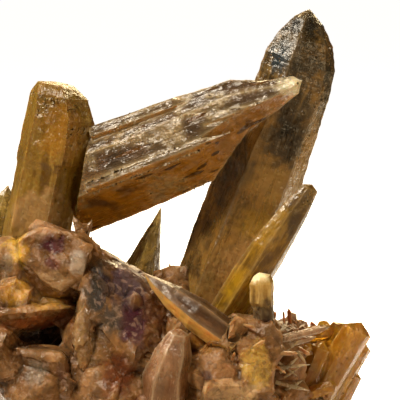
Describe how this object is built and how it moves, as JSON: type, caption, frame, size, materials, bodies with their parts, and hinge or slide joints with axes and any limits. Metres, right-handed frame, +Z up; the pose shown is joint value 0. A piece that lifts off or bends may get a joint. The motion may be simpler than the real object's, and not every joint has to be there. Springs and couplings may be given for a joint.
{
  "type": "mimetite specimen",
  "caption": "Miniature mimetite specimen: tall smoky and honey six-sided prisms, one leaning across, on a lumpy crystal crust that rests on its flat underside.",
  "frame": {"origin": "middle of the underside, below the middle of the outline", "axes": "+Z up, -Y towards the front, +X towards the side that the tall crystal leans to"},
  "size_m": [0.042, 0.0302, 0.0452],
  "materials": {
    "crust": "rough",
    "smoky": "glossy",
    "honey": "glossy",
    "pale": "glossy",
    "olive": "glossy",
    "cream": "satin",
    "amber": "glossy"
  },
  "bodies": {
    "root": {"matrix": "crust", "smoky_crystal": "smoky", "crossed_prisms": "honey", "spike_crystal": "pale", "blade_crystal": "olive", "stub_crystal": "cream", "ridge_crystal": "pale", "pale_pyramid": "pale", "amber_cluster": "amber", "side_crystal": "honey"}
  },
  "joints": []
}
